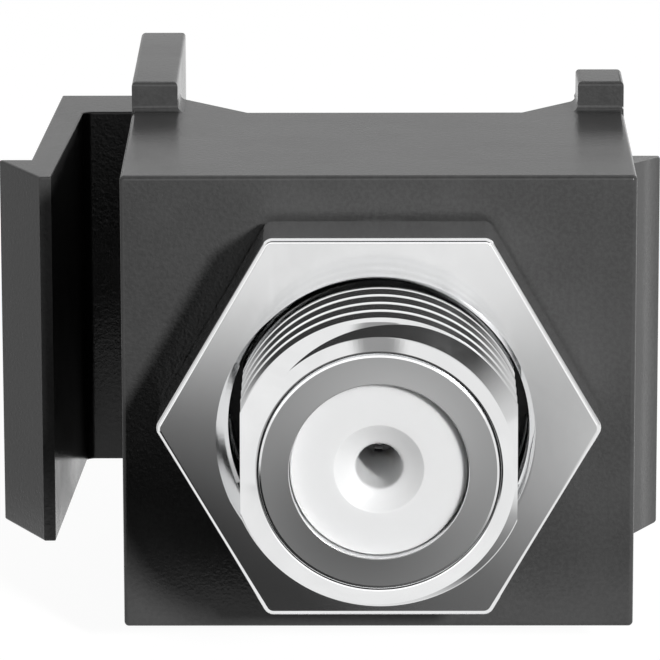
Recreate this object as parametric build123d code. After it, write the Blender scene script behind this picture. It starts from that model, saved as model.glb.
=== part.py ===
"""Snap-in wall-plate block for a satellite TV outlet, with a threaded double-ended coaxial coupler.

Frame, in millimetres: +X is right seen from the front, +Y runs into the wall and +Z is up.
The origin is on the coupler's axis, in the plane of the block's front face.
"""

from build123d import *
import os

os.makedirs("parts", exist_ok=True)

# Block: the rectangular moulding that fills the wall plate's opening
BLOCK_WIDTH = 16.1
BLOCK_HEIGHT = 14.6
BLOCK_DEPTH = 12.27
SIDE_WALL = 1.5
TOP_WALL = 1.5
FRONT_WALL = 3.0
OUTER_EDGE_RADIUS = 0.15
INNER_CORNER_RADIUS = 0.4

# Notch in the rear edge of the top and bottom walls
NOTCH_START = 9.78
NOTCH_LEFT = 4.26
NOTCH_LEFT_END = 12.2
NOTCH_RIGHT = 4.72
NOTCH_RIGHT_END = 11.78

# Ears: the side walls standing above the top wall and below the bottom wall
EAR_RISE = 0.97
EAR_START = 10.05
EAR_ROOT_RADIUS = 0.2
LONG_WALL_DEPTH = 18.8

# Sprung latch on the left: a web off the long wall, a thin arm running forward, and a barb
LATCH_HEIGHT = 12.14
LATCH_WEB = 2.86
LATCH_GAP = 1.88
LATCH_ARM = 0.92
LATCH_ARM_REAR = 1.02
LATCH_SPLAY = 0.56
LATCH_NOSE_DEPTH = 5.6
LATCH_NOSE_WIDTH = 0.38
BARB_BACK_DEPTH = 8.25
BARB_REACH = 1.03
LATCH_ROOT_RADIUS = 0.3
LATCH_EDGE_RADIUS = 0.08

# Fixed catch on the right: a drafted wedge
CATCH_REACH = 1.12
CATCH_HEIGHT = 12.26
CATCH_DRAFT = 0.06
CATCH_START = 6.53
CATCH_BACK = 8.47
CATCH_TIP = 0.25

# Coupler barrel, turned from bar with two flats along its front thread
THREAD_RADIUS = 4.56
THREAD_FLATS = 8.36
FRONT_REACH = 8.24
REAR_REACH = 17.4
END_FACE_RADIUS = 3.61
SEAM_DEPTH = 0.12
RING_RADIUS = 3.705
RING_STEP = 0.01
END_CHAMFER_DEPTH = 0.812
REAR_CHAMFER = 0.5
HEX_ACROSS_FLATS = 11.1
HEX_THICKNESS = 3.0
BARREL_BORE_RADIUS = 2.7
NECK_LENGTH = 0.8
NECK_DEPTH = 0.35

# Hexagon nut and the toothed lock washer under it
NUT_ACROSS_FLATS = 12.0
NUT_THICKNESS = 2.6
NUT_EDGE_RADIUS = 0.1
NUT_CORNER_RADIUS = 0.25
NUT_BORE_CHAMFER = 0.12
WASHER_THICKNESS = 0.5
WASHER_RADIUS = 5.85
WASHER_TEETH = 12
TOOTH_SLOT_WIDTH = 0.7
TOOTH_SLOT_RADIUS = 5.3

# Insulators and the double-ended spring contact
INSULATOR_RECESS = 0.35
INSULATOR_LENGTH = 6.05
FUNNEL_RADIUS = 1.36
FUNNEL_DEPTH = 0.65
PIN_HOLE_RADIUS = 0.68
PIN_HOLE_LENGTH = 4.0
CONTACT_RADIUS = 0.95
CONTACT_BORE_RADIUS = 0.42
CONTACT_BORE_DEPTH = 5.0
CONTACT_SLOT_WIDTH = 0.25
CONTACT_SLOT_DEPTH = 4.2
CONTACT_WAIST_RADIUS = 0.7
CONTACT_WAIST_LENGTH = 6.0

# Clearances between mating pieces
RUNNING_CLEARANCE = 0.09
HOLE_CLEARANCE = 0.06
PRESS_CLEARANCE = 0.02

HALF_WIDTH = BLOCK_WIDTH / 2
HALF_HEIGHT = BLOCK_HEIGHT / 2
EAR_TOP = HALF_HEIGHT + EAR_RISE
INNER_HALF_WIDTH = HALF_WIDTH - SIDE_WALL


def box_between(low, high):
    """A box given by its lowest and highest corners."""
    size = [b - a for a, b in zip(low, high)]
    return Pos(*low) * Box(*size, align=(Align.MIN, Align.MIN, Align.MIN))


def disc(radius, start, length):
    """A cylinder on the coupler's axis, from depth start towards +Y."""
    return Pos(0, start, 0) * Rot(-90, 0, 0) * Cylinder(
        radius, length, align=(Align.CENTER, Align.CENTER, Align.MIN)
    )


def hexagon(across_flats, start, length):
    """A hexagonal prism on the coupler's axis, flats at top and bottom."""
    outline = RegularPolygon(across_flats / 2, 6, major_radius=False)
    return Pos(0, start + length, 0) * Rot(90, 0, 0) * extrude(outline, length)


def flatted(solid, across_flats, start, length, reach):
    """Cuts two flats, left and right, along a round solid."""
    half = across_flats / 2
    for side in (-1, 1):
        inner, outer = sorted((side * half, side * reach))
        solid -= box_between((inner, start, -reach), (outer, start + length, reach))
    return solid


def plan_extrusion(points, height):
    """A plan outline (x, y) extruded up and down from the coupler's axis level."""
    outline = make_face(Polyline(*points, close=True))
    return Pos(0, 0, -height / 2) * extrude(outline, height)


def block_shell():
    """The open-backed block with its rounded outer edges."""
    shell = box_between((-HALF_WIDTH, 0, -HALF_HEIGHT), (HALF_WIDTH, BLOCK_DEPTH, HALF_HEIGHT))
    front = shell.edges().group_by(Axis.Y)[0]
    lengthways = shell.edges().filter_by(Axis.Y)
    return fillet(front + lengthways, OUTER_EDGE_RADIUS)


def side_wall(side, depth):
    """A side wall with its ears above and below, from the ear's front face to the wall's rear edge."""
    inner, outer = sorted((side * INNER_HALF_WIDTH, side * HALF_WIDTH))
    wall = box_between((inner, EAR_START, -EAR_TOP), (outer, depth, EAR_TOP))
    outer_face = wall.faces().sort_by(Axis.X)[0 if side < 0 else -1]
    ends = wall.faces().group_by(Axis.Z)[0] + wall.faces().group_by(Axis.Z)[-1]
    rim = [edge for face in ends for edge in face.edges()]
    outer_rim = [edge for edge in outer_face.edges() if edge.center().Y > depth - 0.01]
    return fillet(rim + outer_rim, OUTER_EDGE_RADIUS)


def ear_roots(body):
    """The small fillets where an ear meets the top or bottom wall."""
    chosen = []
    for edge in body.edges():
        c = edge.center()
        on_wall = abs(abs(c.Z) - HALF_HEIGHT) < 0.01
        along = abs(abs(c.X) - INNER_HALF_WIDTH) < 0.01 and EAR_START < c.Y < BLOCK_DEPTH
        across = abs(c.Y - EAR_START) < 0.01 and INNER_HALF_WIDTH < abs(c.X) < HALF_WIDTH
        if on_wall and (along or across):
            chosen.append(edge)
    return fillet(chosen, EAR_ROOT_RADIUS)


def notch():
    """The flared notch in the rear edge of the top and bottom walls, wider on the right."""
    rear = BLOCK_DEPTH + 1
    points = [
        (-NOTCH_LEFT, NOTCH_START),
        (NOTCH_RIGHT, NOTCH_START),
        (INNER_HALF_WIDTH, NOTCH_RIGHT_END),
        (INNER_HALF_WIDTH, rear),
        (-INNER_HALF_WIDTH, rear),
        (-INNER_HALF_WIDTH, NOTCH_LEFT_END),
    ]
    return plan_extrusion(points, 2 * HALF_HEIGHT + OUTER_EDGE_RADIUS)


def cavity():
    """The space behind the front wall, open at the rear."""
    half = HALF_HEIGHT - TOP_WALL
    rear = LONG_WALL_DEPTH + 1
    space = box_between((-INNER_HALF_WIDTH, FRONT_WALL, -half), (INNER_HALF_WIDTH, rear, half))
    return fillet(space.edges().filter_by(Axis.Y), INNER_CORNER_RADIUS)


def coupler_hole():
    """The double-D hole through the front wall that stops the barrel turning."""
    radius = THREAD_RADIUS + HOLE_CLEARANCE
    across = THREAD_FLATS + 2 * HOLE_CLEARANCE
    return flatted(disc(radius, -1, FRONT_WALL + 2), across, -1, FRONT_WALL + 2, radius + 1)


def latch():
    """The U-shaped latch: web, sprung arm and barb, one outline extruded along Z."""
    web_front = LONG_WALL_DEPTH - LATCH_WEB
    root_x = -HALF_WIDTH - LATCH_GAP
    nose_x = root_x - LATCH_SPLAY
    slope = LATCH_SPLAY / (web_front - LATCH_NOSE_DEPTH)
    outer_at_barb = nose_x - LATCH_ARM + slope * (BARB_BACK_DEPTH - LATCH_NOSE_DEPTH)
    outer_at_rear = root_x - LATCH_ARM_REAR + slope * LATCH_WEB
    points = [
        (-HALF_WIDTH + SIDE_WALL / 2, web_front),
        (root_x, web_front),
        (nose_x, LATCH_NOSE_DEPTH),
        (nose_x - LATCH_NOSE_WIDTH, LATCH_NOSE_DEPTH),
        (outer_at_barb - BARB_REACH, BARB_BACK_DEPTH),
        (outer_at_barb, BARB_BACK_DEPTH),
        (outer_at_rear, LONG_WALL_DEPTH),
        (-HALF_WIDTH + SIDE_WALL / 2, LONG_WALL_DEPTH),
    ]
    solid = plan_extrusion(points, LATCH_HEIGHT)
    root = [e for e in solid.edges().filter_by(Axis.Z) if abs(e.center().X - root_x) < 0.01]
    solid = fillet(root, LATCH_ROOT_RADIUS)
    rims = solid.edges().group_by(Axis.Z)
    outer_rims = [e for e in rims[0] + rims[-1] if e.center().X < -HALF_WIDTH]
    return fillet(outer_rims, LATCH_EDGE_RADIUS)


def catch():
    """The fixed wedge that hooks the wall plate on the right, thinner towards its square rear face."""
    sink = 0.3
    root = HALF_WIDTH - sink
    tip = HALF_WIDTH + CATCH_REACH
    ramp = (CATCH_BACK - CATCH_TIP - CATCH_START) / CATCH_REACH
    start = CATCH_START - sink * ramp
    rear_half = CATCH_HEIGHT / 2
    front_half = rear_half + CATCH_DRAFT * (CATCH_BACK - start)
    plan = [(root, start), (tip, CATCH_BACK - CATCH_TIP), (tip, CATCH_BACK), (root, CATCH_BACK)]
    side = [
        (root, start, -front_half),
        (root, CATCH_BACK, -rear_half),
        (root, CATCH_BACK, rear_half),
        (root, start, front_half),
    ]
    drafted = extrude(make_face(Polyline(*side, close=True)), tip - root, dir=(1, 0, 0))
    wedge = plan_extrusion(plan, 2 * front_half + 1) & drafted
    return fillet(wedge.faces().sort_by(Axis.X)[-1].edges(), LATCH_EDGE_RADIUS)


def housing():
    """The whole moulding: block, ears, latch and catch in one piece."""
    body = block_shell() - cavity()
    body += side_wall(-1, LONG_WALL_DEPTH)
    body += side_wall(1, BLOCK_DEPTH)
    body = ear_roots(body)
    body -= notch()
    body += latch()
    body += catch()
    return body - coupler_hole()


def barrel():
    """The turned coupler body: front thread with two flats, hexagon shoulder and rear thread."""
    hex_rear = FRONT_WALL + HEX_THICKNESS
    neck = THREAD_RADIUS - NECK_DEPTH
    profile = [
        (BARREL_BORE_RADIUS, -FRONT_REACH),
        (END_FACE_RADIUS, -FRONT_REACH),
        (END_FACE_RADIUS, -FRONT_REACH + SEAM_DEPTH),
        (RING_RADIUS, -FRONT_REACH + SEAM_DEPTH),
        (RING_RADIUS, -FRONT_REACH + RING_STEP),
        (THREAD_RADIUS, -FRONT_REACH + RING_STEP + END_CHAMFER_DEPTH),
        (THREAD_RADIUS, hex_rear),
        (neck, hex_rear),
        (neck, hex_rear + NECK_LENGTH),
        (THREAD_RADIUS, hex_rear + NECK_LENGTH),
        (THREAD_RADIUS, REAR_REACH - REAR_CHAMFER),
        (THREAD_RADIUS - REAR_CHAMFER, REAR_REACH),
        (BARREL_BORE_RADIUS, REAR_REACH),
    ]
    section = make_face(Polyline(*profile, close=True))
    turned = revolve(section, Axis.Y)
    front_length = FRONT_REACH + FRONT_WALL
    turned = flatted(turned, THREAD_FLATS, -FRONT_REACH, front_length, THREAD_RADIUS + 1)
    collar = hexagon(HEX_ACROSS_FLATS, FRONT_WALL, HEX_THICKNESS)
    collar -= disc(BARREL_BORE_RADIUS, FRONT_WALL - 1, HEX_THICKNESS + 2)
    return turned + collar


def panel_nut():
    """The hexagon nut that clamps the coupler to the block."""
    start = -WASHER_THICKNESS - NUT_THICKNESS
    bore = THREAD_RADIUS + RUNNING_CLEARANCE
    nut = hexagon(NUT_ACROSS_FLATS, start, NUT_THICKNESS)
    nut = fillet(nut.edges().filter_by(Axis.Y), NUT_CORNER_RADIUS)
    rims = nut.edges().group_by(Axis.Y)
    nut = fillet(rims[0] + rims[-1], NUT_EDGE_RADIUS)
    nut -= disc(bore, start - 1, NUT_THICKNESS + 2)
    bore_rims = [e for e in nut.edges().filter_by(GeomType.CIRCLE) if abs(e.radius - bore) < 0.001]
    return chamfer(bore_rims, NUT_BORE_CHAMFER)


def lock_washer():
    """The internal-tooth washer between the nut and the block."""
    inner = THREAD_RADIUS + RUNNING_CLEARANCE
    washer = disc(WASHER_RADIUS, -WASHER_THICKNESS, WASHER_THICKNESS)
    washer -= disc(inner, -WASHER_THICKNESS - 1, WASHER_THICKNESS + 2)
    slot = box_between(
        (inner - 1, -WASHER_THICKNESS - 1, -TOOTH_SLOT_WIDTH / 2), (TOOTH_SLOT_RADIUS, 1, TOOTH_SLOT_WIDTH / 2)
    )
    for index in range(WASHER_TEETH):
        washer -= Rot(0, index * 360 / WASHER_TEETH, 0) * slot
    return washer


def insulator():
    """The front insulator plug: funnel, pin hole and a pocket for the spring contact."""
    pocket = CONTACT_RADIUS + PRESS_CLEARANCE
    outer = BARREL_BORE_RADIUS - PRESS_CLEARANCE
    face = -FRONT_REACH + INSULATOR_RECESS
    hole_end = face + FUNNEL_DEPTH + PIN_HOLE_LENGTH
    profile = [
        (FUNNEL_RADIUS, face),
        (outer, face),
        (outer, face + INSULATOR_LENGTH),
        (pocket, face + INSULATOR_LENGTH),
        (pocket, hole_end),
        (PIN_HOLE_RADIUS, hole_end),
        (PIN_HOLE_RADIUS, face + FUNNEL_DEPTH),
    ]
    return revolve(make_face(Polyline(*profile, close=True)), Axis.Y)


def turned_end_for_end(solid):
    """The same piece at the coupler's other end."""
    middle = (REAR_REACH - FRONT_REACH) / 2
    return Pos(0, 2 * middle, 0) * Rot(0, 0, 180) * solid


def contact_front_end():
    """Depth of the contact's front tip, just behind the pin hole."""
    return -FRONT_REACH + INSULATOR_RECESS + FUNNEL_DEPTH + PIN_HOLE_LENGTH + PRESS_CLEARANCE


def centre_contact():
    """The double-ended contact: a turned pin, bored and slotted at both ends, thinner at the waist."""
    tip = contact_front_end()
    middle = (REAR_REACH - FRONT_REACH) / 2
    length = 2 * (middle - tip)
    pin = disc(CONTACT_RADIUS, tip, length)
    waist = disc(CONTACT_RADIUS + 1, middle - CONTACT_WAIST_LENGTH / 2, CONTACT_WAIST_LENGTH)
    waist -= disc(CONTACT_WAIST_RADIUS, middle - CONTACT_WAIST_LENGTH, 2 * CONTACT_WAIST_LENGTH)
    pin -= waist
    end_cut = disc(CONTACT_BORE_RADIUS, tip - 1, CONTACT_BORE_DEPTH + 1)
    half_slot = CONTACT_SLOT_WIDTH / 2
    slot_end = tip + CONTACT_SLOT_DEPTH
    reach = CONTACT_RADIUS + 1
    end_cut += box_between((-half_slot, tip - 1, -reach), (half_slot, slot_end, reach))
    end_cut += box_between((-reach, tip - 1, -half_slot), (reach, slot_end, half_slot))
    return pin - end_cut - turned_end_for_end(end_cut)


front_plug = insulator()
pieces = {
    "housing": housing(),
    "barrel": barrel(),
    "panel_nut": panel_nut(),
    "lock_washer": lock_washer(),
    "front_insulator": front_plug,
    "rear_insulator": turned_end_for_end(front_plug),
    "centre_contact": centre_contact(),
}

for node, shape in pieces.items():
    export_step(shape, f"parts/{node}.step")
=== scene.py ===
"""Looks of a snap-in wall-plate block with a threaded satellite TV coupler.

Every piece is made in millimetres in the CAD frame and brought to metres when it is finished.
Frame: +X is right seen from the front, +Y runs into the wall, +Z is up, and the origin lies on
the coupler's axis in the plane of the block's front face.
"""

import logging
import math
from collections.abc import Callable
from dataclasses import dataclass, field
from enum import Enum
from typing import ClassVar

import bpy
from mathutils import Matrix, Vector


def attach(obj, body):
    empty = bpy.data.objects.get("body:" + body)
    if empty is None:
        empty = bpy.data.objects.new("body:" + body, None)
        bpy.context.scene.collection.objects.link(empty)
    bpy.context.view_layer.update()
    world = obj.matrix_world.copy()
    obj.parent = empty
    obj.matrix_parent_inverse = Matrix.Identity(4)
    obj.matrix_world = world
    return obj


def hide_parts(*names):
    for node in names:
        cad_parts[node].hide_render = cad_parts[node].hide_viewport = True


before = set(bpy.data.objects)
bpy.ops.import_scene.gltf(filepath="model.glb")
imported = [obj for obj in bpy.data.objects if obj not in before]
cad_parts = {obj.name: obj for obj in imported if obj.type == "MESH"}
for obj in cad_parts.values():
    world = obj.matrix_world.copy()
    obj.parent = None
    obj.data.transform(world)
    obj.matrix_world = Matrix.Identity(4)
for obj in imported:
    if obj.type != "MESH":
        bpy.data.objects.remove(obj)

log = logging.getLogger("coupler")
MM = 0.001
MERGE = 1e-5
Point = tuple[float, float, float]
Corner = tuple[float, float]
Span = tuple[float, float]
Socket = bpy.types.NodeSocket


class End(Enum):
    """Which end of the coupler a piece stands at."""

    FRONT = "front"
    REAR = "rear"


class Bench:
    """The modelling moves that the pieces share, all through Blender's own operators."""

    @staticmethod
    def clear() -> None:
        """Leaves edit mode and deselects every object."""
        if bpy.context.object is not None and bpy.context.object.mode != "OBJECT":
            bpy.ops.object.mode_set(mode="OBJECT")
        bpy.ops.object.select_all(action="DESELECT")

    @staticmethod
    def pick(piece: bpy.types.Object) -> None:
        """Makes one object the only selected and active one.

        Args:
            piece: The object to work on.
        """
        Bench.clear()
        piece.select_set(True)
        bpy.context.view_layer.objects.active = piece

    @staticmethod
    def edit(piece: bpy.types.Object, select: str = "SELECT") -> None:
        """Opens an object in edit mode with everything selected or nothing.

        Args:
            piece: The object to open.
            select: SELECT or DESELECT.
        """
        Bench.pick(piece)
        bpy.ops.object.mode_set(mode="EDIT")
        bpy.ops.mesh.select_mode(type="VERT")
        bpy.ops.mesh.select_all(action=select)

    @staticmethod
    def wire(name: str, points: list[Point]) -> bpy.types.Object:
        """Draws a closed loop of edges by extruding one vertex from point to point.

        Args:
            name: The new object's name.
            points: The loop's corners in order.

        Returns:
            The object that holds the loop.
        """
        Bench.clear()
        bpy.ops.mesh.primitive_plane_add(size=1.0, location=(0.0, 0.0, 0.0))
        piece = bpy.context.object
        piece.name = name
        piece.data.name = name
        Bench.edit(piece)
        bpy.ops.mesh.merge(type="CENTER")
        bpy.ops.transform.translate(value=points[0])
        for start, stop in zip(points, [*points[1:], points[0]]):
            step = tuple(b - a for a, b in zip(start, stop))
            bpy.ops.mesh.extrude_region_move(TRANSFORM_OT_translate={"value": step})
        bpy.ops.mesh.select_all(action="SELECT")
        bpy.ops.mesh.remove_doubles(threshold=MERGE)
        bpy.ops.object.mode_set(mode="OBJECT")
        return piece

    @staticmethod
    def lathe(name: str, outline: list[Corner], steps: int = 96) -> bpy.types.Object:
        """Turns a closed outline round the coupler's axis.

        Args:
            name: The new object's name.
            outline: Corners as (radius, depth), in order.
            steps: Facets round the axis.

        Returns:
            The turned solid, facing outwards.
        """
        piece = Bench.wire(name, [(radius, depth, 0.0) for radius, depth in outline])
        Bench.edit(piece)
        bpy.ops.mesh.spin(
            steps=steps, angle=math.tau, center=(0.0, 0.0, 0.0), axis=(0.0, 1.0, 0.0), use_auto_merge=True
        )
        Bench.tidy(piece)
        return piece

    @staticmethod
    def tidy(piece: bpy.types.Object) -> None:
        """Merges doubles and turns every face outwards.

        Args:
            piece: The closed object to tidy.
        """
        Bench.edit(piece)
        bpy.ops.mesh.remove_doubles(threshold=MERGE)
        bpy.ops.mesh.normals_make_consistent(inside=False)
        bpy.ops.object.mode_set(mode="OBJECT")

    @staticmethod
    def apply(piece: bpy.types.Object, kind: str, **settings: object) -> None:
        """Adds a modifier with its settings and applies it.

        Args:
            piece: The object to change.
            kind: Blender's name of the modifier type.
            settings: Values of the modifier's properties.
        """
        Bench.pick(piece)
        bpy.ops.object.modifier_add(type=kind)
        modifier = piece.modifiers[-1]
        for key, value in settings.items():
            setattr(modifier, key, value)
        bpy.ops.object.modifier_apply(modifier=modifier.name)

    @staticmethod
    def cut(piece: bpy.types.Object, tool: bpy.types.Object) -> None:
        """Cuts one closed object out of another and removes the tool.

        Args:
            piece: The object that is cut.
            tool: The closed object that cuts.
        """
        Bench.apply(piece, "BOOLEAN", operation="DIFFERENCE", solver="EXACT", object=tool)
        bpy.data.objects.remove(tool)

    @staticmethod
    def slice(piece: bpy.types.Object, at: Point, away: Point) -> None:
        """Cuts an object along a plane, drops the far side and closes the cut.

        Args:
            piece: The object to cut.
            at: A point on the plane.
            away: The direction of the side that is dropped.
        """
        Bench.edit(piece)
        bpy.ops.mesh.bisect(plane_co=at, plane_no=away, use_fill=True, clear_outer=True, threshold=1e-6)
        bpy.ops.object.mode_set(mode="OBJECT")

    @staticmethod
    def hexagon(name: str, across: float, low: float, high: float) -> bpy.types.Object:
        """Stands a hexagonal prism on the coupler's axis, with two flats level.

        Args:
            name: The new object's name.
            across: Width across flats.
            low: Depth of its front face.
            high: Depth of its rear face.

        Returns:
            The prism.
        """
        Bench.clear()
        bpy.ops.mesh.primitive_cylinder_add(
            vertices=6,
            radius=across / math.sqrt(3.0),
            depth=high - low,
            location=(0.0, (low + high) / 2, 0.0),
            rotation=(math.pi / 2, math.pi / 6, 0.0),
        )
        prism = bpy.context.object
        prism.name = name
        prism.data.name = name
        bpy.ops.object.transform_apply(location=True, rotation=True, scale=True)
        return prism

    @staticmethod
    def pick_edges(piece: bpy.types.Object, wanted: Callable[[Vector, Vector], bool]) -> None:
        """Opens an object and selects the edges whose two ends pass a test.

        Args:
            piece: The object to open.
            wanted: The test, given both ends of an edge.
        """
        Bench.edit(piece, "DESELECT")
        bpy.ops.mesh.select_mode(type="EDGE")
        bpy.ops.object.mode_set(mode="OBJECT")
        mesh = piece.data
        for edge in mesh.edges:
            ends = [mesh.vertices[i].co for i in edge.vertices]
            edge.select = wanted(*ends)
        bpy.ops.object.mode_set(mode="EDIT")

    @staticmethod
    def join(name: str, parts: list[bpy.types.Object]) -> bpy.types.Object:
        """Joins several objects into one.

        Args:
            name: The joined object's name.
            parts: The objects to join; the first one stays.

        Returns:
            The joined object.
        """
        Bench.pick(parts[0])
        for part in parts[1:]:
            part.select_set(True)
        bpy.ops.object.join()
        parts[0].name = name
        parts[0].data.name = name
        return parts[0]

    @staticmethod
    def finish(piece: bpy.types.Object, sharp: float, body: str, slot: str, nodes: list[str]) -> None:
        """Brings a piece to metres, smooths it and puts it on its body.

        Args:
            piece: The finished piece, in millimetres.
            sharp: The angle in degrees above which an edge stays sharp.
            body: The CAD body that carries it.
            slot: The record's material slot; not used.
            nodes: The CAD nodes that it stands for.
        """
        Bench.pick(piece)
        bpy.ops.object.shade_smooth_by_angle(angle=math.radians(sharp))
        Bench.apply(piece, "WEIGHTED_NORMAL", keep_sharp=True, weight=100, thresh=0.0001)
        Bench.edit(piece)
        bpy.ops.transform.resize(value=(MM, MM, MM), center_override=(0.0, 0.0, 0.0))
        bpy.ops.object.mode_set(mode="OBJECT")
        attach(piece, body)
        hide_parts(*nodes)
        log.info("%s: %d faces", piece.name, len(piece.data.polygons))


class Board:
    """A node tree with short calls for adding nodes and joining them."""

    def __init__(self, tree: bpy.types.NodeTree) -> None:
        """Takes the tree to work on.

        Args:
            tree: A material's, world's or group's node tree.
        """
        self.tree = tree

    def add(self, kind: str, inputs: dict[str | int, object] | None = None, **settings: object) -> bpy.types.Node:
        """Adds a node, sets its properties and fills its inputs.

        Args:
            kind: The node's type without its ShaderNode prefix.
            inputs: Values or output sockets by the input's name or place.
            settings: Values of the node's own properties.

        Returns:
            The new node.
        """
        node = self.tree.nodes.new("ShaderNode" + kind)
        for key, value in settings.items():
            setattr(node, key, value)
        for key, value in (inputs or {}).items():
            if isinstance(value, Socket):
                self.tree.links.new(value, node.inputs[key])
            else:
                node.inputs[key].default_value = value
        return node

    def math(self, operation: str, *values: object) -> Socket:
        """Adds a Math node.

        Args:
            operation: The Math node's operation.
            values: Numbers or output sockets, in order.

        Returns:
            The node's output socket.
        """
        return self.add("Math", dict(enumerate(values)), operation=operation).outputs[0]

    def length(self, first: Socket, second: Socket) -> Socket:
        """Adds the Math nodes for the length of two values at right angles.

        Args:
            first: One value's socket.
            second: The other value's socket.

        Returns:
            The socket that holds the length.
        """
        squares = [self.math("MULTIPLY", value, value) for value in (first, second)]
        return self.math("SQRT", self.math("ADD", *squares))

    def shade(self, level: Socket) -> Socket:
        """Adds a Combine Color node that makes a value a grey.

        Args:
            level: The socket of the grey's brightness.

        Returns:
            The colour's socket.
        """
        return self.add("CombineColor", {0: level, 1: level, 2: level}).outputs[0]

    def spread(self, value: object, low: object, high: object, to_low: object, to_high: object) -> Socket:
        """Adds a smooth Map Range node.

        Args:
            value: The socket to map.
            low: Where the range starts, a number or a socket.
            high: Where the range ends.
            to_low: The result at its start.
            to_high: The result at its end.

        Returns:
            The result's socket.
        """
        inputs = {"Value": value, "From Min": low, "From Max": high, "To Min": to_low, "To Max": to_high}
        return self.add("MapRange", inputs, interpolation_type="SMOOTHSTEP").outputs["Result"]

    def blend(self, factor: object, first: object, second: object) -> Socket:
        """Adds a colour Mix node.

        Args:
            factor: The share of the second colour.
            first: The first colour.
            second: The second colour.

        Returns:
            The blended colour's socket.
        """
        return self.add("Mix", {0: factor, 6: first, 7: second}, data_type="RGBA").outputs[2]


class Effects:
    """Node groups that several finishes share, each made once."""

    @staticmethod
    def _group(name: str, inputs: dict[str, float | None], outputs: list[str]) -> tuple[Board, dict[str, object]]:
        """Starts a node group.

        Args:
            name: The group's name.
            inputs: Input names with their values, None for a vector.
            outputs: Names of the value outputs.

        Returns:
            The group's board, and by name its input sockets and, as sink, its output node.
        """
        tree = bpy.data.node_groups.new(name, "ShaderNodeTree")
        for key, value in inputs.items():
            kind = "NodeSocketVector" if value is None else "NodeSocketFloat"
            socket = tree.interface.new_socket(key, in_out="INPUT", socket_type=kind)
            if value is not None:
                socket.default_value = value
        for key in outputs:
            tree.interface.new_socket(key, in_out="OUTPUT", socket_type="NodeSocketFloat")
        source = tree.nodes.new("NodeGroupInput")
        sink = tree.nodes.new("NodeGroupOutput")
        sockets: dict[str, object] = {key: source.outputs[key] for key in inputs}
        sockets["sink"] = sink
        return Board(tree), sockets

    @staticmethod
    def moulded_grain() -> bpy.types.NodeTree:
        """Fine eroded tool texture: a height, specks, and slow patches that vary tone and gloss.

        Returns:
            The group's node tree.
        """
        made = bpy.data.node_groups.get("moulded_grain")
        if made:
            return made
        board, io = Effects._group(
            "moulded_grain", {"Vector": None, "Scale": 7000.0, "Patch Scale": 260.0}, ["Height", "Patches", "Specks"]
        )
        coarse = board.add("TexNoise", {"Vector": io["Vector"], "Scale": io["Scale"], "Detail": 3.0, "Roughness": 0.6})
        cells = board.add(
            "TexVoronoi", {"Vector": io["Vector"], "Scale": board.math("MULTIPLY", io["Scale"], 1.4)}, feature="F1"
        )
        patches = board.add(
            "TexNoise", {"Vector": io["Vector"], "Scale": io["Patch Scale"], "Detail": 4.0, "Roughness": 0.55}
        )
        height = board.math("MULTIPLY_ADD", cells.outputs["Distance"], 0.35, coarse.outputs["Fac"])
        links = board.tree.links
        links.new(height, io["sink"].inputs["Height"])
        links.new(board.spread(patches.outputs["Fac"], 0.32, 0.68, 0.0, 1.0), io["sink"].inputs["Patches"])
        links.new(board.spread(coarse.outputs["Fac"], 0.35, 0.65, 0.0, 1.0), io["sink"].inputs["Specks"])
        return board.tree

    @staticmethod
    def turning_marks() -> bpy.types.NodeTree:
        """Fine rings left by the lathe round the coupler's axis.

        Returns:
            The group's node tree.
        """
        made = bpy.data.node_groups.get("turning_marks")
        if made:
            return made
        board, io = Effects._group(
            "turning_marks", {"Vector": None, "Spacing": 9000.0, "Depth Share": 0.83}, ["Height", "Mask"]
        )
        parts = board.add("SeparateXYZ", {"Vector": io["Vector"]})
        radius = board.length(parts.outputs["X"], parts.outputs["Z"])
        along = board.math("MULTIPLY_ADD", parts.outputs["Y"], io["Depth Share"], radius)
        rings = board.add(
            "TexNoise",
            {"W": board.math("MULTIPLY", along, io["Spacing"]), "Scale": 1.0, "Detail": 2.0},
            noise_dimensions="1D",
        )
        links = board.tree.links
        links.new(rings.outputs["Fac"], io["sink"].inputs["Height"])
        links.new(board.spread(rings.outputs["Fac"], 0.35, 0.65, 0.0, 1.0), io["sink"].inputs["Mask"])
        return board.tree

    @staticmethod
    def handling() -> bpy.types.NodeTree:
        """Faint smudges and hairline scratches from handling.

        Returns:
            The group's node tree.
        """
        made = bpy.data.node_groups.get("handling")
        if made:
            return made
        board, io = Effects._group("handling", {"Vector": None, "Scale": 320.0}, ["Smudge", "Scratch"])
        smudge = board.add(
            "TexNoise",
            {"Vector": io["Vector"], "Scale": io["Scale"], "Detail": 5.0, "Roughness": 0.6, "Distortion": 0.6},
        )
        tilt = board.add(
            "Mapping", {"Vector": io["Vector"], "Rotation": (0.0, math.radians(38.0), 0.0), "Scale": (6.0, 1.0, 0.25)}
        )
        streak = board.add(
            "TexNoise", {"Vector": tilt.outputs[0], "Scale": board.math("MULTIPLY", io["Scale"], 3.0), "Detail": 2.0}
        )
        links = board.tree.links
        links.new(board.spread(smudge.outputs["Fac"], 0.3, 0.7, 0.0, 1.0), io["sink"].inputs["Smudge"])
        links.new(board.spread(streak.outputs["Fac"], 0.3, 0.7, 0.0, 1.0), io["sink"].inputs["Scratch"])
        return board.tree


def grey(level: float, warmth: float = 0.0) -> tuple[float, float, float, float]:
    """A near-neutral colour.

    Args:
        level: Its linear brightness.
        warmth: How far red stands above blue.

    Returns:
        The colour with full alpha.
    """
    return (level * (1.0 + warmth), level, level * (1.0 - warmth), 1.0)


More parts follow.
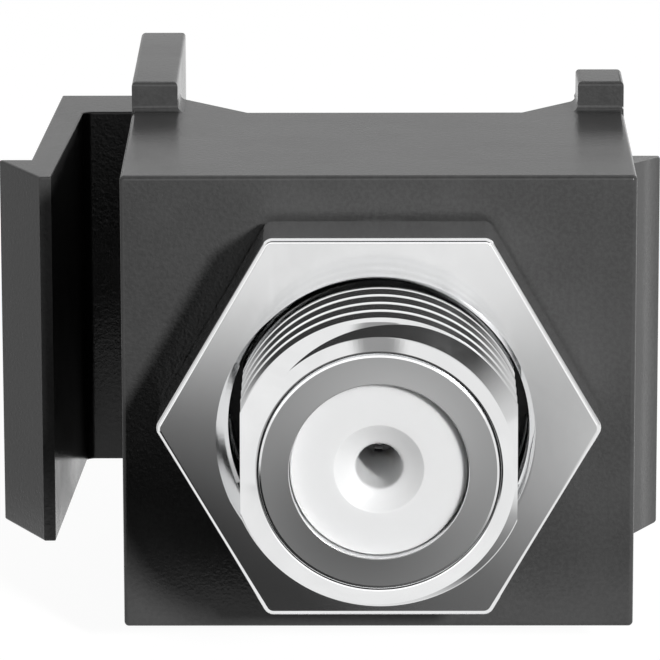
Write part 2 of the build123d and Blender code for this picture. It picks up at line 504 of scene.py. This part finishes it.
@dataclass(frozen=True)
class Finish:
    """What every finish does: makes its material once and puts it on pieces."""

    name: str
    made: ClassVar[dict[str, bpy.types.Material]] = {}

    def start(self) -> tuple[Board, bpy.types.Node, Socket]:
        """Starts the material.

        Returns:
            Its board, its shader and the piece's own coordinates.
        """
        material = bpy.data.materials.new(f"{self.name}_finish")
        Finish.made[self.name] = material
        material.use_nodes = True
        board = Board(material.node_tree)
        shader = material.node_tree.nodes["Principled BSDF"]
        place = board.add("TexCoord").outputs["Object"]
        return board, shader, place

    @staticmethod
    def coat(board: Board, shader: bpy.types.Node, tone: Socket, rough: Socket, bump: dict[str, object]) -> None:
        """Joins a finish's tone, roughness and relief to its shader.

        Args:
            board: The material's board.
            shader: The material's shader.
            tone: The colour's socket.
            rough: The roughness's socket.
            bump: The Bump node's inputs: its height, distance and strength.
        """
        relief = board.add("Bump", bump)
        board.tree.links.new(tone, shader.inputs["Base Color"])
        board.tree.links.new(rough, shader.inputs["Roughness"])
        board.tree.links.new(relief.outputs["Normal"], shader.inputs["Normal"])

    def make(self) -> None:
        """Builds the material's nodes."""
        raise NotImplementedError

    def dress(self, piece: bpy.types.Object) -> None:
        """Gives the finish to every face of a piece.

        Args:
            piece: The object to dress.
        """
        if self.name not in Finish.made:
            self.make()
        material = Finish.made[self.name]
        if not piece.material_slots:
            piece.data.materials.append(material)
        for place in piece.material_slots:
            place.material = material


@dataclass(frozen=True)
class BlackMoulding(Finish):
    """Black engineering plastic with a fine eroded texture and a soft gloss."""

    name: str = "black_moulding"
    dark: float = 0.044
    light: float = 0.056
    speck_share: float = 0.35
    speck_lift: float = 1.35
    gloss: Span = (0.18, 0.23)
    grain_depth: float = 0.000009
    grain_strength: float = 0.7
    ior: float = 1.4

    def make(self) -> None:
        """Tone and gloss follow slow patches, and the grain lifts the surface a little."""
        board, shader, place = self.start()
        grain = board.add("Group", node_tree=Effects.moulded_grain())
        board.tree.links.new(place, grain.inputs["Vector"])
        tone = board.blend(grain.outputs["Patches"], grey(self.dark), grey(self.light))
        speck = board.math("MULTIPLY", grain.outputs["Specks"], self.speck_share)
        tone = board.blend(speck, tone, grey(self.light * self.speck_lift))
        rough = board.spread(grain.outputs["Patches"], 0.0, 1.0, *self.gloss)
        bump = {"Height": grain.outputs["Height"], "Distance": self.grain_depth, "Strength": self.grain_strength}
        Finish.coat(board, shader, tone, rough, bump)
        shader.inputs["IOR"].default_value = self.ior


@dataclass(frozen=True)
class Plating(Finish):
    """Bright plated metal with lathe rings, faint smudges and hairlines.

    A faced finish has a duller end face too, in front of faced_depth and inside faced_radius (metres).
    """

    name: str = "nickel_plate"
    dull: float = 0.82
    bright: float = 0.88
    warmth: float = -0.004
    gloss: Span = (0.07, 0.11)
    scratch_share: float = 0.15
    ring_spacing: float = 9000.0
    ring_depth: float = 0.0000006
    ring_strength: float = 0.05
    faced: bool = False
    faced_tone: float = 0.45
    faced_gloss: float = 0.28
    faced_depth: float = -0.008237
    faced_radius: float = 0.003546

    def make(self) -> None:
        """Tone and roughness follow the smudges and hairlines; the rings bend the light a little."""
        board, shader, place = self.start()
        marks = board.add("Group", node_tree=Effects.handling())
        rings = board.add("Group", node_tree=Effects.turning_marks())
        rings.inputs["Spacing"].default_value = self.ring_spacing
        board.tree.links.new(place, marks.inputs["Vector"])
        board.tree.links.new(place, rings.inputs["Vector"])
        smudge, scratch = marks.outputs["Smudge"], marks.outputs["Scratch"]
        tone = board.blend(smudge, grey(self.bright, self.warmth), grey(self.dull, self.warmth))
        smear = board.math("MULTIPLY", smudge, 1.0 - self.scratch_share)
        blur = board.math("MULTIPLY_ADD", scratch, self.scratch_share, smear)
        rough = board.spread(blur, 0.0, 1.0, *self.gloss)
        if self.faced:
            parts = board.add("SeparateXYZ", {"Vector": place})
            radius = board.length(parts.outputs["X"], parts.outputs["Z"])
            end = board.math("LESS_THAN", parts.outputs["Y"], self.faced_depth)
            flat = board.math("MULTIPLY", end, board.math("LESS_THAN", radius, self.faced_radius))
            tone = board.blend(flat, tone, grey(self.faced_tone, self.warmth))
            rough = board.add("Mix", {0: flat, 2: rough, 3: self.faced_gloss}).outputs[0]
        bump = {"Height": rings.outputs["Height"], "Distance": self.ring_depth, "Strength": self.ring_strength}
        Finish.coat(board, shader, tone, rough, bump)
        shader.inputs["Metallic"].default_value = 1.0


@dataclass(frozen=True)
class WhiteInsulator(Finish):
    """White moulded dielectric, smooth and a little translucent."""

    name: str = "white_insulator"
    clean: float = 0.86
    clean_warmth: float = -0.004
    worn: float = 0.84
    worn_warmth: float = -0.002
    gloss: Span = (0.34, 0.44)
    grain_depth: float = 0.000002
    grain_strength: float = 0.08
    depth_share: float = 0.8
    depth_scale: float = 0.0003

    def make(self) -> None:
        """A faint change of tone and gloss over the face."""
        board, shader, place = self.start()
        grain = board.add("Group", node_tree=Effects.moulded_grain())
        board.tree.links.new(place, grain.inputs["Vector"])
        clean, worn = grey(self.clean, self.clean_warmth), grey(self.worn, self.worn_warmth)
        tone = board.blend(grain.outputs["Patches"], clean, worn)
        rough = board.spread(grain.outputs["Patches"], 0.0, 1.0, *self.gloss)
        bump = {"Height": grain.outputs["Height"], "Distance": self.grain_depth, "Strength": self.grain_strength}
        Finish.coat(board, shader, tone, rough, bump)
        shader.inputs["Subsurface Weight"].default_value = self.depth_share
        shader.inputs["Subsurface Radius"].default_value = (1.0, 1.0, 1.0)
        shader.inputs["Subsurface Scale"].default_value = self.depth_scale


def arc(centre: Corner, radius: float, start: float, stop: float, count: int) -> list[Corner]:
    """Points along a circular arc in a turned outline.

    Args:
        centre: The arc's centre as (radius, depth).
        radius: The arc's own radius.
        start: The first angle in degrees, from the outward direction towards +Y.
        stop: The last angle in degrees.
        count: How many points.

    Returns:
        The points in order.
    """
    turn = [math.radians(start + (stop - start) * i / (count - 1)) for i in range(count)]
    return [(centre[0] + radius * math.cos(a), centre[1] + radius * math.sin(a)) for a in turn]


@dataclass
class Thread:
    """A right-hand screw thread, cut as one long groove."""

    pitch: float = 1.0
    crest: float = 4.56
    root: float = 4.06
    root_half: float = 0.127
    flank: float = 0.577
    margin: float = 0.02
    edge: float = 0.03
    edge_width: float = 0.045
    run_in: float = 0.1
    steps: int = 160

    def groove(self, name: str, start: float, turns: int, phase: float) -> bpy.types.Object:
        """Makes the groove of an outside thread as a closed tool.

        Args:
            name: The tool's name.
            start: Depth of the groove's middle at the top of its first turn.
            turns: How many turns it runs into the wall.
            phase: Angle in degrees of its start, from +X towards +Z.

        Returns:
            The tool, reaching a little past the crest.
        """
        low = self.crest - self.edge
        reach = self.crest + self.margin
        half = self.root_half + self.flank * (low - self.root)
        wide = half + self.edge_width * (1.0 + self.margin / self.edge)
        section = [
            (self.root, start - self.root_half),
            (low, start - half),
            (reach, start - wide),
            (reach, start + wide),
            (low, start + half),
            (self.root, start + self.root_half),
        ]
        return self.sweep(name, section, turns, phase)

    def inside_groove(self, name: str, bore: float, deep: float, start: float, turns: int) -> bpy.types.Object:
        """Makes the groove of an inside thread as a closed tool.

        Args:
            name: The tool's name.
            bore: Radius of the bore.
            deep: Radius at the bottom of the groove.
            start: Depth of the groove's middle at its start.
            turns: How many turns it runs into the wall.

        Returns:
            The tool, reaching a little inside the bore.
        """
        near = bore - self.run_in
        half = self.root_half + self.flank * (deep - near)
        section = [
            (near, start - half),
            (deep, start - self.root_half),
            (deep, start + self.root_half),
            (near, start + half),
        ]
        return self.sweep(name, section, turns, 0.0)

    def sweep(self, name: str, section: list[Corner], turns: int, phase: float) -> bpy.types.Object:
        """Sweeps a section along a right-hand helix round the axis and closes its ends.

        Args:
            name: The tool's name.
            section: Corners as (radius, depth).
            turns: How many turns.
            phase: Angle in degrees of the start, from +X towards +Z.

        Returns:
            The closed tool.
        """
        angle = math.radians(phase)
        points = [(r * math.cos(angle), d, r * math.sin(angle)) for r, d in section]
        tool = Bench.wire(name, points)
        Bench.apply(
            tool,
            "SCREW",
            axis="Y",
            angle=math.tau,
            screw_offset=self.pitch,
            iterations=turns,
            steps=self.steps,
            render_steps=self.steps,
            use_merge_vertices=False,
        )
        Bench.edit(tool, "DESELECT")
        bpy.ops.mesh.select_non_manifold(extend=False, use_multi_face=False, use_verts=False)
        bpy.ops.mesh.edge_face_add()
        Bench.tidy(tool)
        return tool


@dataclass
class Barrel:
    """The turned coupler body: front thread with flats, hexagon shoulder and rear thread.

    The end face ends in a shallow bevel, and a narrow seam parts it from the cone that leads to the thread.
    """

    finish: Finish
    thread: Thread = field(default_factory=Thread)
    bore: float = 2.7
    bore_round: float = 0.03
    face: float = -8.24
    face_radius: float = 3.61
    bevel: float = 0.065
    bevel_slope: float = 0.27
    bevel_tip: float = 0.004
    seam_depth: float = 0.18
    seam_wall: float = 0.034
    seam_foot: float = 0.03
    seam_lip: float = 0.02
    seam_lip_depth: float = 0.04
    ring_start: float = 3.705
    ring_slope: float = 0.95
    ring_lead: float = 0.01
    cone_round: float = 0.35
    flats: float = 4.18
    overlap: float = 0.2
    front_wall: float = 3.0
    hex_thickness: float = 3.0
    hex_across: float = 11.1
    hex_land: float = 0.05
    hex_slope: float = 25.0
    hex_margin: float = 0.3
    skin: float = 0.01
    neck: float = 4.05
    neck_length: float = 0.8
    rear: float = 17.4
    rear_chamfer: float = 0.5
    rear_round: float = 0.05
    groove_at_top: float = -7.904
    front_turns: int = 12
    rear_groove: float = 5.6
    rear_turns: int = 13
    top: float = 90.0
    sharp: float = 10.5

    def front_outline(self) -> list[Corner]:
        """Outline of the front sleeve, with its end face, seam and cone.

        Returns:
            Corners as (radius, depth), in order.
        """
        crest = self.thread.crest
        lead = self.face + self.ring_lead
        cone_end = lead + self.ring_slope * (crest - self.ring_start)
        slope = 90.0 - math.degrees(math.atan(self.ring_slope))
        tangent = self.cone_round * math.tan(math.radians(slope / 2))
        drop = self.face + self.bevel * self.bevel_slope
        return [
            (self.bore, self.front_wall + self.overlap),
            *arc((self.bore + self.bore_round, self.face + self.bore_round), self.bore_round, 180, 270, 11),
            (self.face_radius - self.bevel, self.face),
            (self.face_radius - self.bevel_tip, drop),
            (self.face_radius, drop + self.bevel_tip),
            (self.ring_start - self.seam_wall, self.face + self.seam_depth),
            (self.ring_start - self.seam_foot, self.face + self.seam_depth),
            (self.ring_start - self.seam_lip, self.face + self.seam_lip_depth),
            (self.ring_start + self.seam_lip, lead + self.ring_slope * self.seam_lip),
            *arc((crest - self.cone_round, cone_end + tangent), self.cone_round, -slope, 0, 9),
            (crest, self.front_wall + self.overlap),
        ]

    def rear_outline(self) -> list[Corner]:
        """Outline of the rear sleeve, with its neck and chamfer.

        Returns:
            Corners as (radius, depth), in order.
        """
        crest = self.thread.crest
        shoulder = self.front_wall + self.hex_thickness
        neck_end = shoulder + self.neck_length
        return [
            (self.bore, shoulder - self.overlap),
            (self.neck, shoulder - self.overlap),
            (self.neck, neck_end),
            (crest, neck_end + (crest - self.neck) * self.thread.flank),
            (crest, self.rear - self.rear_chamfer),
            (crest - self.rear_chamfer, self.rear),
            *arc((self.bore + self.rear_round, self.rear - self.rear_round), self.rear_round, 90, 180, 10),
        ]

    def shoulder(self) -> bpy.types.Object:
        """Makes the hexagon shoulder: a prism with its corners turned off at both ends.

        Returns:
            The shoulder, without a bore.
        """
        low, high = self.front_wall, self.front_wall + self.hex_thickness
        prism = Bench.hexagon("barrel_shoulder", self.hex_across, low, high)
        land = self.hex_across / 2 + self.hex_land
        reach = self.hex_across / math.sqrt(3.0) + self.hex_margin
        drop = math.tan(math.radians(self.hex_slope)) * (reach - land)
        low, high = low - self.skin, high + self.skin
        outline = [(self.bore, low), (land, low), (reach, low + drop)]
        outline += [(reach, high - drop), (land, high), (self.bore, high)]
        keep = Bench.lathe("shoulder_corners", outline)
        Bench.apply(prism, "BOOLEAN", operation="INTERSECT", solver="EXACT", object=keep)
        bpy.data.objects.remove(keep)
        return prism

    def build(self) -> None:
        """Models the barrel and dresses it."""
        front = Bench.lathe("barrel_front", self.front_outline(), self.thread.steps)
        for side in (-1.0, 1.0):
            Bench.slice(front, (side * self.flats, 0.0, 0.0), (side, 0.0, 0.0))
        start = self.groove_at_top - self.thread.pitch
        Bench.cut(front, self.thread.groove("front_groove", start, self.front_turns, self.top))
        rear = Bench.lathe("barrel_rear", self.rear_outline(), self.thread.steps)
        Bench.cut(rear, self.thread.groove("rear_groove", self.rear_groove, self.rear_turns, self.top))
        piece = Bench.join("threaded_barrel", [front, self.shoulder(), rear])
        Bench.finish(piece, self.sharp, "block", "nickel_plate", ["barrel"])
        self.finish.dress(piece)


@dataclass
class Moulding:
    """The one-piece plastic housing: block, ears, latch and catch, in the CAD solid's own shape."""

    finish: Finish
    merge: float = 1e-4
    flat: float = 0.5
    sharp: float = 20.0

    def build(self) -> None:
        """Takes the CAD solid's mesh, joins its flat facets, smooths its rounds and dresses it."""
        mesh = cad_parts["housing"].data.copy()
        piece = bpy.data.objects.new("moulded_housing", mesh)
        bpy.context.scene.collection.objects.link(piece)
        mesh.name = "moulded_housing"
        Bench.edit(piece)
        bpy.ops.transform.resize(value=(1 / MM, 1 / MM, 1 / MM), center_override=(0.0, 0.0, 0.0))
        bpy.ops.mesh.remove_doubles(threshold=self.merge)
        bpy.ops.mesh.dissolve_limited(angle_limit=math.radians(self.flat))
        bpy.ops.object.mode_set(mode="OBJECT")
        Bench.finish(piece, self.sharp, "block", "black_moulding", ["housing"])
        self.finish.dress(piece)


@dataclass
class PanelNut:
    """The hexagon nut, with rounded edges and a threaded bore."""

    finish: Finish
    thread: Thread = field(default_factory=Thread)
    across: float = 12.0
    front: float = -3.1
    thickness: float = 2.6
    corner: float = 0.18
    edge: float = 0.15
    segments: int = 4
    bore: float = 4.66
    mouth: float = 4.79
    mouth_round: float = 0.02
    skin: float = 0.001
    margin: float = 0.5
    groove: float = 5.15
    groove_lead: float = 1.3
    turns: int = 6
    sharp: float = 32.0

    def build(self) -> None:
        """Models the nut and dresses it."""
        rear = self.front + self.thickness
        nut = Bench.hexagon("threaded_nut", self.across, self.front, rear)
        Bench.pick_edges(nut, lambda a, b: abs(a.y - b.y) > self.thickness / 2)
        bpy.ops.mesh.bevel(offset=self.corner, segments=self.segments, affect="EDGES")
        Bench.pick_edges(nut, lambda a, b: abs(a.y - b.y) < self.edge / 2)
        bpy.ops.mesh.bevel(offset=self.edge, segments=self.segments, affect="EDGES")
        lip = self.mouth - self.bore
        wide = self.mouth + self.mouth_round
        bore = Bench.lathe(
            "nut_bore",
            [
                (self.margin, self.front - self.margin),
                (wide, self.front - self.margin),
                (wide, self.front - self.skin),
                *arc((self.mouth, self.front + self.mouth_round), self.mouth_round, 300, 360, 3),
                (self.bore, self.front + lip),
                (self.bore, rear - lip),
                (self.mouth, rear),
                (self.mouth, rear + self.margin),
                (self.margin, rear + self.margin),
            ],
            self.thread.steps,
        )
        Bench.cut(nut, bore)
        start = self.front - self.groove_lead
        Bench.cut(nut, self.thread.inside_groove("nut_groove", self.bore, self.groove, start, self.turns))
        Bench.finish(nut, self.sharp, "nut", "nickel_nut", ["panel_nut"])
        self.finish.dress(nut)


@dataclass
class Insulator:
    """A white plug at one end of the coupler, with its funnel and pin hole."""

    finish: Finish
    end: End
    radius: float = 2.68
    face: float = -7.89
    length: float = 6.05
    funnel: float = 1.38
    funnel_depth: float = 0.65
    dish_radii: tuple[float, ...] = (1.34, 1.3, 1.2, 1.08, 0.95, 0.84, 0.75, 0.705, 0.685)
    dish_depths: tuple[float, ...] = (0.012, 0.038, 0.1, 0.165, 0.225, 0.275, 0.33, 0.39, 0.47)
    hole: float = 0.68
    hole_length: float = 4.0
    pocket: float = 0.97
    rim: float = 0.06
    front_reach: float = 8.24
    rear_reach: float = 17.4
    sharp: float = 40.0

    def outline(self) -> list[Corner]:
        """The plug's turned outline, with its rounded rim and dished funnel.

        Returns:
            Corners as (radius, depth), in order.
        """
        throat = self.face + self.funnel_depth
        end = throat + self.hole_length
        rear = self.face + self.length
        dish = [(radius, self.face + depth) for radius, depth in zip(self.dish_radii, self.dish_depths)]
        return [
            (self.hole, throat),
            *reversed(dish),
            (self.funnel, self.face),
            *arc((self.radius - self.rim, self.face + self.rim), self.rim, 270, 360, 4),
            (self.radius, rear),
            (self.pocket, rear),
            (self.pocket, end),
            (self.hole, end),
        ]

    def build(self) -> None:
        """Models the plug, turns it end for end where it is the rear one, and dresses it."""
        plug = Bench.lathe(f"{self.end.value}_plug", self.outline())
        if self.end is End.REAR:
            Bench.edit(plug)
            shift = self.rear_reach - self.front_reach
            bpy.ops.transform.resize(value=(1.0, -1.0, 1.0), center_override=(0.0, 0.0, 0.0))
            bpy.ops.transform.translate(value=(0.0, shift, 0.0))
            bpy.ops.object.mode_set(mode="OBJECT")
            Bench.tidy(plug)
        Bench.finish(plug, self.sharp, "block", "white_insulator", [f"{self.end.value}_insulator"])
        self.finish.dress(plug)


@dataclass
class Viewpoint:
    """The camera, standing in front of the socket and a little above it."""

    place: Point = (-0.36690253, -175.35739246, 45.26960529)
    forward: Point = (-0.00634899, 0.97134253, -0.23759921)
    roll: float = -0.14
    focal_pixels: float = 5774.38
    picture: float = 660.0
    sensor: float = 36.0
    near: float = 0.01
    far: float = 20.0

    def build(self) -> None:
        """Makes the camera and sets it as the scene's own."""
        Bench.clear()
        bpy.ops.object.camera_add(location=[c * MM for c in self.place])
        camera = bpy.context.object
        ahead = Vector(self.forward).normalized()
        right = ahead.cross(Vector((0.0, 0.0, 1.0))).normalized()
        up = right.cross(ahead)
        angle = math.radians(self.roll)
        right, up = (
            math.cos(angle) * right + math.sin(angle) * up,
            -math.sin(angle) * right + math.cos(angle) * up,
        )
        turn = Matrix((right, up, -ahead)).transposed()
        camera.rotation_euler = turn.to_euler()
        camera.data.sensor_width = self.sensor
        camera.data.lens = self.focal_pixels / self.picture * self.sensor
        camera.data.clip_start = self.near
        camera.data.clip_end = self.far
        bpy.context.scene.camera = camera


def first_mirror(board: Board, ray: bpy.types.Node) -> Socket:
    """Tells what gloss mirrors from what plain surfaces have scattered.

    Args:
        board: The board of the floor's material or of the world.
        ray: Its Light Path node.

    Returns:
        A socket that is 1 for a glossy ray that no plain surface scattered before, or else 0.
    """
    direct = board.math("LESS_THAN", ray.outputs["Diffuse Depth"], 0.5)
    return board.math("MULTIPLY", ray.outputs["Is Glossy Ray"], direct)


@dataclass
class Floor:
    """A pale floor that keeps the socket's shadow, and that metal sees as a painted reflection: painted shade, dark
    near the block and pale towards the camera, between painted pale sides.

    Its places are in metres, across along +X and depth along +Y, and its levels are linear brightness.
    """

    height: float = -8.25 * MM
    size: float = 6000.0 * MM
    cuts: int = 3
    white: float = 0.955
    shadowed: float = 0.14
    bounce: float = 0.1
    painted_shade_places: tuple[float, ...] = (0.08, 0.2, 0.32, 0.45, 0.56, 0.62, 0.7, 0.8)
    painted_shade_levels: tuple[float, ...] = (0.04, 0.11, 0.15, 0.27, 0.45, 0.68, 0.84, 0.94)
    painted_shade_length: float = 80.0 * MM
    painted_shade_lean: float = 2.8
    painted_shade_turn: Span = (-0.05, -0.022)
    side_level: float = 0.95
    right: Span = (0.012, 0.022)
    left: Span = (-0.024, -0.018)
    under: Span = (-0.0088, -0.0078)
    aisle: Span = (-0.0105, -0.0085)
    aisle_share: float = 0.9
    aisle_level: float = 0.01
    far_across: Span = (-0.022, -0.016)
    far_depth: Span = (0.0, 0.006)
    far_level: float = 0.6

    def ramp(self, board: Board, across: Socket, depth: Socket) -> Socket:
        """Adds the painted shade's fall-off, dark near the block and pale towards the camera.

        Args:
            board: The material's board.
            across: The socket of the place across.
            depth: The socket of the depth.

        Returns:
            The painted shade's colour.
        """
        lean = board.spread(depth, *self.painted_shade_turn, 0.0, self.painted_shade_lean)
        reach = board.math("SUBTRACT", board.math("MULTIPLY", across, lean), depth)
        ramp = board.add("ValToRGB", {"Fac": board.math("MULTIPLY", reach, 1.0 / self.painted_shade_length)})
        stops = list(zip(self.painted_shade_places, self.painted_shade_levels))
        band = ramp.color_ramp.elements
        for element, (position, level) in zip(band, (stops[0], stops[-1])):
            element.position, element.color = position, grey(level)
        for position, level in stops[1:-1]:
            band.new(position).color = grey(level)
        return ramp.outputs["Color"]

    def mirrored(self, board: Board) -> Socket:
        """Adds what metal sees in the floor: a painted reflection, with painted shade near the block, painted white
        beside and under the block, a dark painted strip on the left and a grey painted patch behind on the far left.

        Args:
            board: The material's board.

        Returns:
            The colour that metal sees.
        """
        parts = board.add("SeparateXYZ", {"Vector": board.add("TexCoord").outputs["Object"]})
        across, depth = parts.outputs["X"], parts.outputs["Y"]
        painted_shade = self.ramp(board, across, depth)
        right = board.spread(across, *self.right, 0.0, 1.0)
        left = board.spread(across, *self.left, 1.0, 0.0)
        under = board.spread(depth, *self.under, 0.0, 1.0)
        clear = board.math("MAXIMUM", board.math("MAXIMUM", right, left), under)
        aisle = board.spread(across, *self.aisle, self.aisle_share, 0.0)
        seen = board.blend(clear, board.blend(aisle, painted_shade, grey(self.aisle_level)), grey(self.side_level))
        across_far = board.spread(across, *self.far_across, 1.0, 0.0)
        far = board.math("MULTIPLY", across_far, board.spread(depth, *self.far_depth, 0.0, 1.0))
        return board.blend(far, seen, grey(self.far_level))

    def build(self) -> None:
        """Lays the floor and gives it its material."""
        Bench.clear()
        bpy.ops.mesh.primitive_plane_add(size=self.size, location=(0.0, 0.0, self.height))
        floor = bpy.context.object
        floor.name = "floor"
        Bench.edit(floor)
        bpy.ops.mesh.subdivide(number_cuts=self.cuts)
        bpy.ops.object.mode_set(mode="OBJECT")
        bpy.ops.object.transform_apply(location=True, rotation=True, scale=True)
        material = bpy.data.materials.new("pale_floor")
        material.use_nodes = True
        board = Board(material.node_tree)
        board.tree.nodes.remove(board.tree.nodes["Principled BSDF"])
        ray = board.add("LightPath")
        camera, through = ray.outputs["Is Camera Ray"], ray.outputs["Is Transmission Ray"]
        glossy = first_mirror(board, ray)
        # Glossy rays see the painted reflection; camera rays see even white.
        glow = board.add("Emission", {"Color": board.blend(glossy, grey(self.white), self.mirrored(board))})
        shadowed = board.blend(camera, grey(0.0), grey(self.shadowed))
        faint = board.add("BsdfDiffuse", {"Color": shadowed})
        both = board.add("AddShader", {0: faint.outputs[0], 1: glow.outputs[0]})
        plain = board.add("BsdfDiffuse", {"Color": grey(self.bounce)})
        seen = board.math("MAXIMUM", board.math("MAXIMUM", camera, glossy), through)
        final = board.add("MixShader", {0: seen, 1: plain.outputs[0], 2: both.outputs[0]})
        board.tree.links.new(final.outputs[0], board.tree.nodes["Material Output"].inputs["Surface"])
        floor.data.materials.append(material)


@dataclass
class Surround:
    """The world: white to the eye, dim for plain light, and a dark front with a softbox for gloss.

    Spans are parts of the unit vector that points from the socket to the surround.
    """

    ambient: float = 0.06
    backlight: float = 2.4
    backlit: Span = (0.8, 0.97)
    dark: float = 0.04
    overhead: float = 0.34
    overhead_from: Span = (0.9, 0.945)
    panel: float = 0.95
    panel_from: Span = (0.965, 0.985)
    behind: float = 0.62
    behind_until: Span = (0.2, 0.6)
    softbox: float = 1.35
    softbox_half: Span = (0.82, 0.66)
    softbox_edge: Span = (0.85, 1.0)
    front_height: Span = (0.75, 0.88)
    front_from: Span = (0.46, 0.7)
    front_fade: float = 0.24
    least: float = 0.001

    def mirrored(self, board: Board, x: Socket, y: Socket, z: Socket) -> Socket:
        """Adds what gloss sees in the surround.

        Args:
            board: The world's board.
            x: The direction's part to the right.
            y: Its part into the wall.
            z: Its part upwards.

        Returns:
            The colour that gloss sees.
        """
        level = board.math("MAXIMUM", board.length(x, y), self.least)
        facing = board.math("DIVIDE", board.math("MULTIPLY", y, -1.0), level)
        aside = board.math("DIVIDE", x, level)
        narrow = board.spread(z, *self.front_height, *self.front_from)
        front = board.spread(facing, narrow, board.math("ADD", narrow, self.front_fade), 0.0, 1.0)
        over = board.spread(z, *self.overhead_from, self.dark, self.overhead)
        over = board.spread(z, *self.panel_from, over, self.panel)
        wide, high = self.softbox_half
        across = board.math("POWER", board.math("DIVIDE", aside, wide), 2.0)
        upward = board.math("POWER", board.math("DIVIDE", z, high), 2.0)
        box = board.spread(board.math("ADD", across, upward), *self.softbox_edge, 1.0, 0.0)
        ahead = board.blend(box, board.shade(over), grey(self.softbox))
        rear = board.shade(board.spread(z, *self.behind_until, self.behind, self.panel))
        around = board.blend(board.math("LESS_THAN", y, 0.0), rear, grey(self.panel))
        return board.blend(front, around, ahead)

    def build(self) -> None:
        """Makes the world."""
        world = bpy.data.worlds.new("surround")
        bpy.context.scene.world = world
        world.use_nodes = True
        board = Board(world.node_tree)
        ray = board.add("LightPath")
        parts = board.add("SeparateXYZ", {"Vector": board.add("TexCoord").outputs["Generated"]})
        x, y, z = (parts.outputs[axis] for axis in "XYZ")
        plain = board.shade(board.spread(y, *self.backlit, self.ambient, self.backlight))
        shown = board.blend(first_mirror(board, ray), plain, self.mirrored(board, x, y, z))
        seen = board.math("MAXIMUM", ray.outputs["Is Camera Ray"], ray.outputs["Is Transmission Ray"])
        shown = board.blend(seen, shown, grey(1.0))
        board.tree.links.new(shown, board.tree.nodes["Background"].inputs["Color"])


@dataclass
class Studio:
    """The floor, one hard lamp from the upper right and the surround."""

    floor: Floor = field(default_factory=Floor)
    surround: Surround = field(default_factory=Surround)
    lamp_toward: Point = (0.54, -1.0, 0.37)
    lamp_distance: float = 600.0
    lamp_width: float = 73.0
    lamp_power: float = 3.7

    def build(self) -> None:
        """Makes the floor, the lamp and the surround."""
        self.floor.build()
        self.lamp()
        self.surround.build()

    def lamp(self) -> None:
        """Hangs the key lamp, aimed at the object."""
        Bench.clear()
        toward = Vector(self.lamp_toward).normalized()
        bpy.ops.object.light_add(type="AREA", location=toward * self.lamp_distance * MM)
        lamp = bpy.context.object
        lamp.rotation_euler = toward.to_track_quat("Z", "Y").to_euler()
        lamp.data.shape = "DISK"
        lamp.data.size = self.lamp_width * MM
        lamp.data.energy = self.lamp_power
        log.info("lamp: %.2f W", self.lamp_power)


def main() -> None:
    """Builds the camera, the studio and every piece in order."""
    logging.basicConfig(level=logging.INFO, format="%(name)s %(message)s")
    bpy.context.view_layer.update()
    bpy.context.scene.view_settings.view_transform = "Standard"
    Viewpoint().build()
    Studio().build()
    plate = Plating(faced=True)
    nut_plate = Plating(name="nickel_nut", dull=0.82, bright=0.87, gloss=(0.11, 0.13), ring_strength=0.0)
    steel = Plating(name="washer_steel", dull=0.5, bright=0.62, gloss=(0.22, 0.34))
    # The centre pin's finish is plated metal; its near-black tone is painted shade that stands in for the dark depth
    # of the pin hole.
    contact = Plating(name="contact_plate", dull=0.17, bright=0.22, warmth=0.0, gloss=(0.42, 0.48))
    white = WhiteInsulator()
    Moulding(BlackMoulding()).build()
    Barrel(plate).build()
    PanelNut(nut_plate).build()
    for end in End:
        Insulator(white, end).build()
    steel.dress(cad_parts["lock_washer"])
    contact.dress(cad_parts["centre_contact"])


if __name__ == "__main__":
    main()
